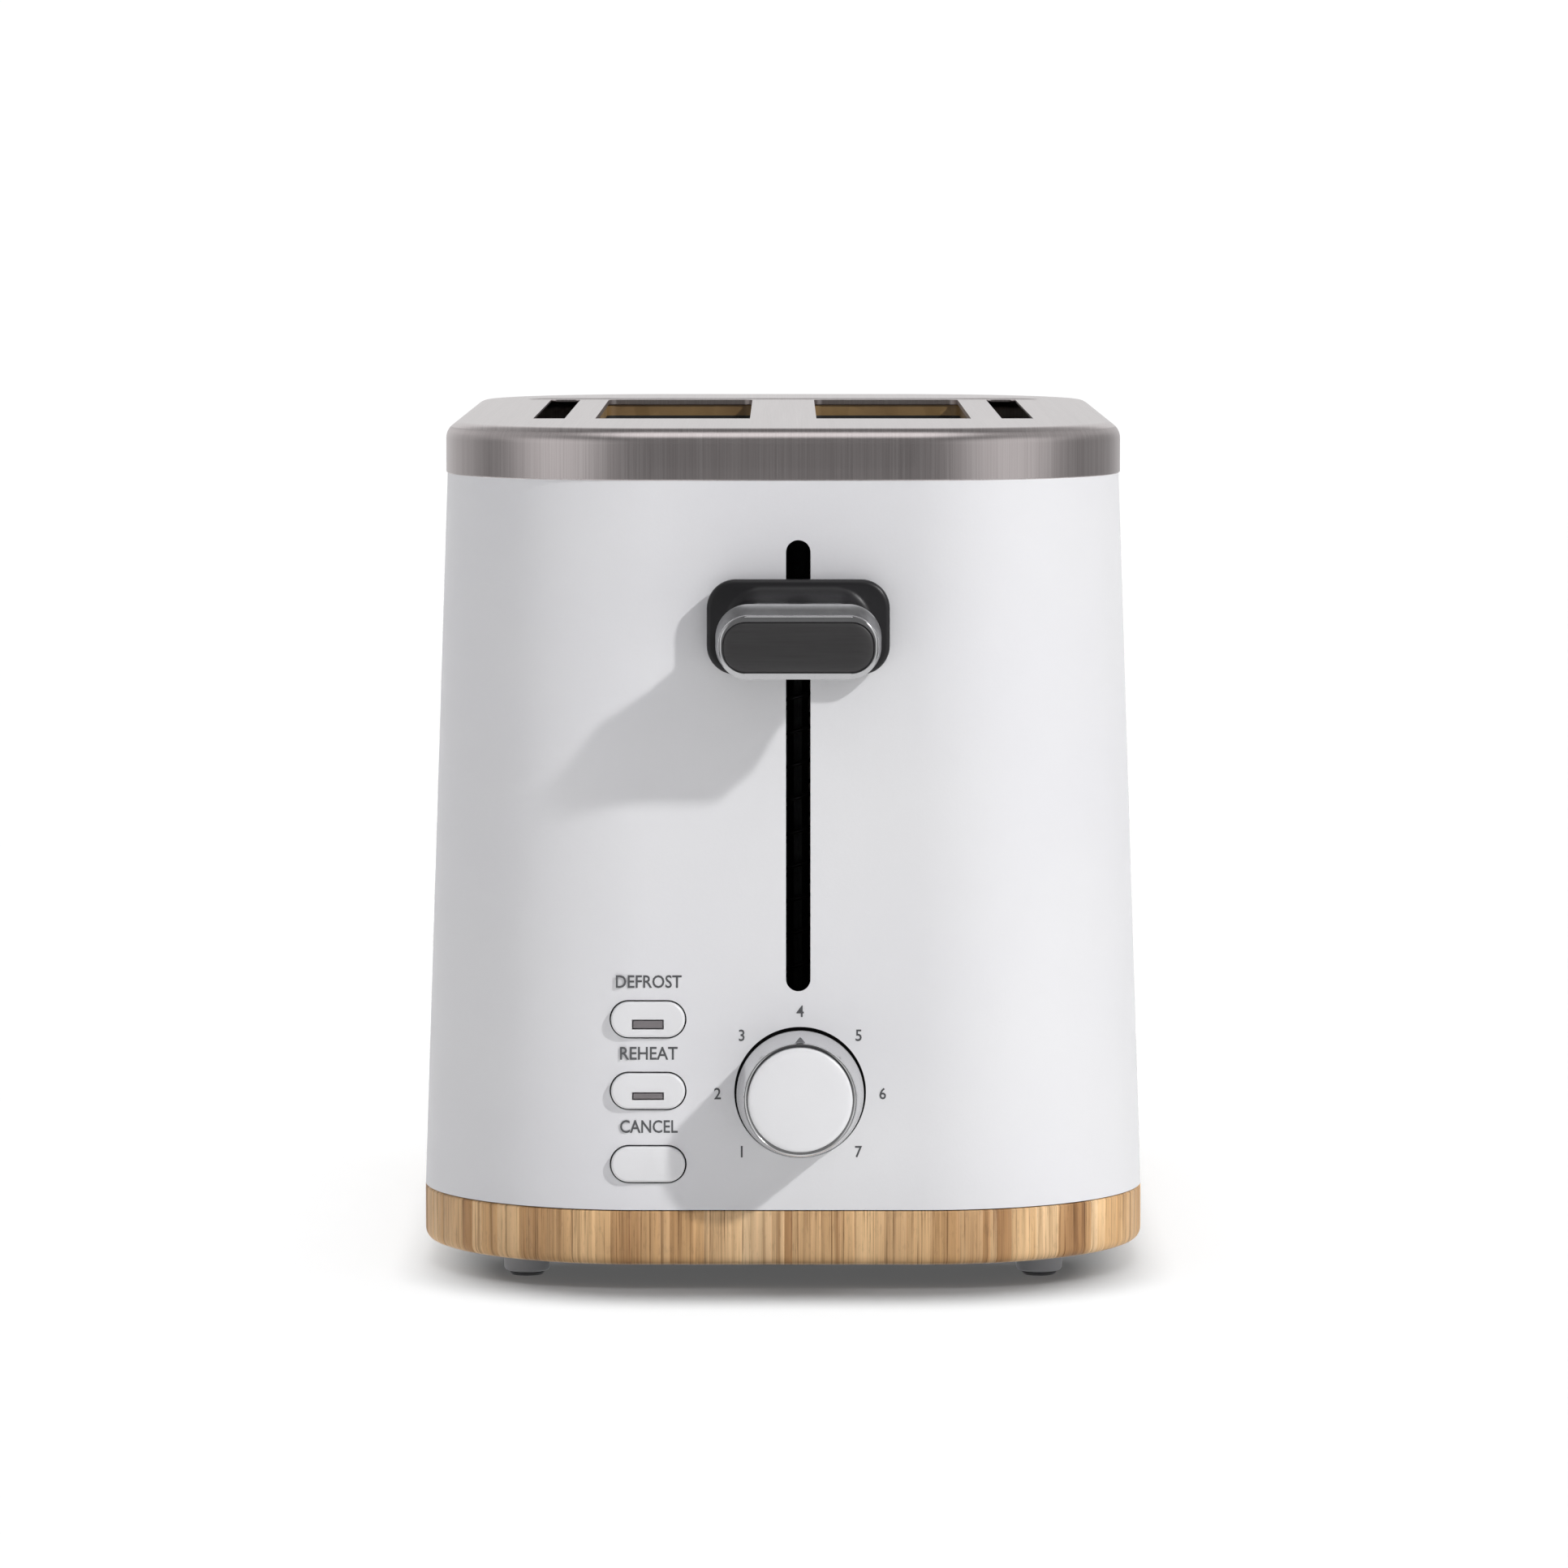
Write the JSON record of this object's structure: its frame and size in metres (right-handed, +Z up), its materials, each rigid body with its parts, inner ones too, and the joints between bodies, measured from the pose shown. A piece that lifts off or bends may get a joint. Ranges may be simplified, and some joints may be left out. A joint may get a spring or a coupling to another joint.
{
  "type": "pop up toaster",
  "caption": "Upright pop-up toaster: tapered painted shell, steel lid with bread slots, timber base band, front lever, browning dial and pill buttons.",
  "frame": {"origin": "centre of the overall box at the plane the feet stand on", "axes": "+Z up, -Y towards the end with the lever and dial, +X to the right seen from that end"},
  "size_m": [0.171, 0.3031, 0.2002],
  "materials": {
    "white_paint": "satin",
    "brushed_steel": "brushed",
    "timber": "oiled, satin",
    "grey_plastic": "matte",
    "foot_rubber": "matte",
    "black_plastic": "satin",
    "charcoal": "satin",
    "white_plastic": "satin gloss",
    "lens_grey": "smoked, gloss",
    "chrome": "polished",
    "zinc_steel": "zinc plated",
    "dark_steel": "dark plated",
    "spring_steel": "bright",
    "bright_wire": "plated wire",
    "mica": "matt sheet",
    "nichrome": "oxidised",
    "brass": "satin",
    "copper": "enamelled winding",
    "board_green": "solder mask",
    "cream_plastic": "matte"
  },
  "bodies": {
    "root": {"body_shell": "white_paint", "top_cover": "brushed_steel", "wood_band": "timber", "base_pan": "grey_plastic", "base_screw_1": "dark_steel", "base_screw_2": "dark_steel", "base_screw_3": "dark_steel", "base_screw_4": "dark_steel", "browning_control": "dark_steel", "guide_rod": "dark_steel", "magnet_core": "dark_steel", "foot_front_left": "foot_rubber", "foot_front_right": "foot_rubber", "foot_rear_left": "foot_rubber", "foot_rear_right": "foot_rubber", "cord_gland": "black_plastic", "panel_carrier": "black_plastic", "main_switch": "black_plastic", "defrost_switch": "black_plastic", "reheat_switch": "black_plastic", "cancel_switch": "black_plastic", "control_board": "board_green", "front_bulkhead": "zinc_steel", "rear_bulkhead": "zinc_steel", "reflector_left": "zinc_steel", "reflector_right": "zinc_steel", "mica_board_outer_left": "mica", "mica_board_inner_left": "mica", "mica_board_inner_right": "mica", "mica_board_outer_right": "mica", "heating_wire_outer_left": "nichrome", "heating_wire_inner_left": "nichrome", "heating_wire_inner_right": "nichrome", "heating_wire_outer_right": "nichrome", "lift_spring": "spring_steel", "magnet_coil": "copper", "terminal_block": "cream_plastic"},
    "carriage": {"lever_grip": "black_plastic", "lever_trim": "chrome", "lever_face": "charcoal", "carriage_arm": "zinc_steel", "carriage_slider": "grey_plastic", "carriage_bracket": "zinc_steel", "bread_rack_left": "zinc_steel", "bread_rack_right": "zinc_steel", "keeper_plate": "dark_steel"},
    "dial": {"dial_skirt": "chrome", "dial_cap": "white_plastic", "dial_shaft": "brass"},
    "defrost_key": {"defrost_button": "white_plastic", "defrost_lens": "lens_grey"},
    "reheat_key": {"reheat_button": "white_plastic", "reheat_lens": "lens_grey"},
    "cancel_key": {"cancel_button": "white_plastic"},
    "tray": {"crumb_tray": "zinc_steel", "crumb_tray_handle": "white_plastic"},
    "guard_outer_left": {"guard_outer_left": "bright_wire"},
    "guard_inner_left": {"guard_inner_left": "bright_wire"},
    "guard_inner_right": {"guard_inner_right": "bright_wire"},
    "guard_outer_right": {"guard_outer_right": "bright_wire"}
  },
  "joints": [
    {"name": "lever_slide", "type": "slide", "parent": "root", "child": "carriage", "axis": [0, 0, 1], "range_m": [-0.078, 0.012], "stiffness_N_per_m": 120, "springref_m": 0.0073, "deforming": ["lift_spring"]},
    {"name": "dial_turn", "type": "hinge", "parent": "root", "child": "dial", "pos_m": [0.00395, -0.12591, 0.04579], "axis": [0, 0.9998, -0.0206], "range_deg": [-135, 135]},
    {"name": "defrost_press", "type": "slide", "parent": "root", "child": "defrost_key", "axis": [0, 0.9998, -0.0206], "range_m": [0, 0.0012], "stiffness_N_per_m": 1000},
    {"name": "reheat_press", "type": "slide", "parent": "root", "child": "reheat_key", "axis": [0, 0.9998, -0.0206], "range_m": [0, 0.0012], "stiffness_N_per_m": 1000},
    {"name": "cancel_press", "type": "slide", "parent": "root", "child": "cancel_key", "axis": [0, 0.9998, -0.0206], "range_m": [0, 0.0012], "stiffness_N_per_m": 1000},
    {"name": "tray_slide", "type": "slide", "parent": "root", "child": "tray", "axis": [0, 1, 0], "range_m": [0, 0.195]},
    {"name": "guard_outer_left_lean", "type": "hinge", "parent": "root", "child": "guard_outer_left", "pos_m": [-0.0438, 0.00953, 0.037], "axis": [0, 1, 0], "range_deg": [-0.5, 3.1]},
    {"name": "guard_inner_left_lean", "type": "hinge", "parent": "root", "child": "guard_inner_left", "pos_m": [-0.0096, 0.00953, 0.037], "axis": [0, -1, 0], "range_deg": [-0.5, 3.1]},
    {"name": "guard_inner_right_lean", "type": "hinge", "parent": "root", "child": "guard_inner_right", "pos_m": [0.0096, 0.00953, 0.037], "axis": [0, 1, 0], "range_deg": [-0.5, 3.1]},
    {"name": "guard_outer_right_lean", "type": "hinge", "parent": "root", "child": "guard_outer_right", "pos_m": [0.0438, 0.00953, 0.037], "axis": [0, -1, 0], "range_deg": [-0.5, 3.1]}
  ],
  "couplings": [
    {"joint": "guard_outer_left_lean", "follows": "lever_slide", "rad_per_m": -0.67},
    {"joint": "guard_inner_left_lean", "follows": "lever_slide", "rad_per_m": -0.67},
    {"joint": "guard_inner_right_lean", "follows": "lever_slide", "rad_per_m": -0.67},
    {"joint": "guard_outer_right_lean", "follows": "lever_slide", "rad_per_m": -0.67}
  ]
}
